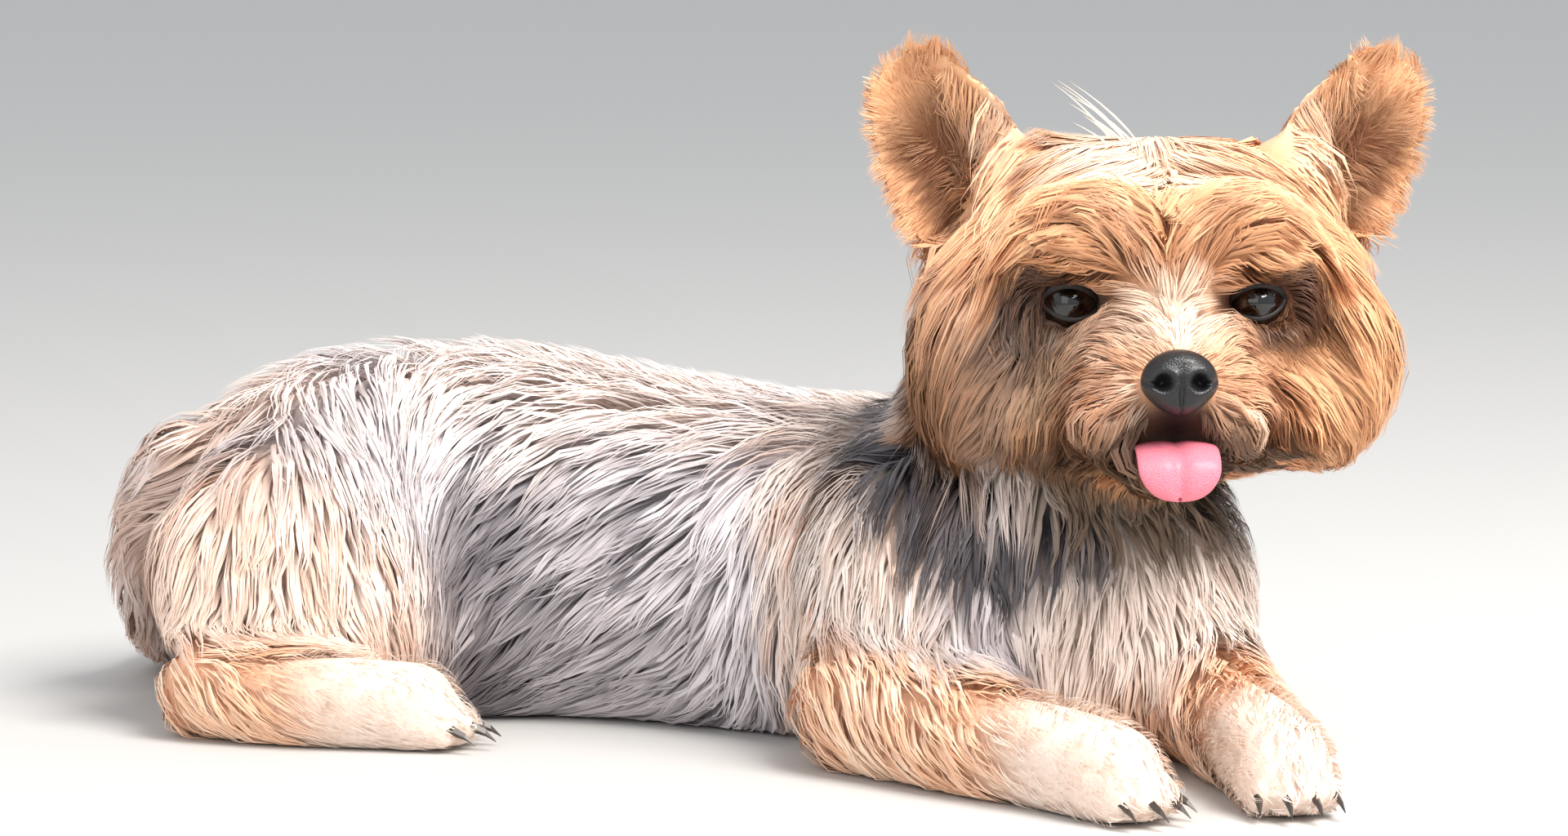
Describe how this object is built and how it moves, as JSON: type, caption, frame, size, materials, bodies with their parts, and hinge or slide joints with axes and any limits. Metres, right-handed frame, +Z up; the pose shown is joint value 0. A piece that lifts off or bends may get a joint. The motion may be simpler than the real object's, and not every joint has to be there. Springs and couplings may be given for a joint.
{
  "type": "yorkshire terrier model",
  "caption": "Life-size still model of a yorkshire terrier lying down, head turned to its right, tongue tip showing, with a long silky coat",
  "frame": {"origin": "on the floor, in the flat under the ribs, between the forelegs and the haunches", "axes": "+Z up; +X from the rump to the chest, along the length of the lying body; +Y to the dog's left side; the head is turned towards -Y"},
  "size_m": [0.4079, 0.1813, 0.1993],
  "materials": {
    "coat_tan": "long silky hair, golden tan to cream",
    "coat_steel": "wavy silky hair, silver to steel grey",
    "eye_dark": "wet and glossy, very dark brown",
    "nose_leather": "moist black leather with fine pebbling",
    "tongue_pink": "moist pink, soft sheen",
    "claw_horn": "smooth dark horn"
  },
  "bodies": {
    "root": {"head": "coat_tan", "ear_left": "coat_tan", "ear_right": "coat_tan", "neck": "coat_steel", "chest": "coat_steel", "loin_and_rump": "coat_steel", "tail_root": "coat_steel", "tail_tip": "coat_steel", "thigh_left": "coat_tan", "thigh_right": "coat_tan", "foreleg_left": "coat_tan", "foreleg_right": "coat_tan", "hindfoot_left": "coat_tan", "hindfoot_right": "coat_tan", "eye_left": "eye_dark", "eye_right": "eye_dark", "nose": "nose_leather", "tongue": "tongue_pink", "claw_foreleg_left_1": "claw_horn", "claw_foreleg_left_2": "claw_horn", "claw_foreleg_left_3": "claw_horn", "claw_foreleg_left_4": "claw_horn", "claw_foreleg_right_1": "claw_horn", "claw_foreleg_right_2": "claw_horn", "claw_foreleg_right_3": "claw_horn", "claw_foreleg_right_4": "claw_horn", "claw_hindfoot_left_1": "claw_horn", "claw_hindfoot_left_2": "claw_horn", "claw_hindfoot_left_3": "claw_horn", "claw_hindfoot_left_4": "claw_horn", "claw_hindfoot_right_1": "claw_horn", "claw_hindfoot_right_2": "claw_horn", "claw_hindfoot_right_3": "claw_horn", "claw_hindfoot_right_4": "claw_horn"}
  },
  "joints": []
}
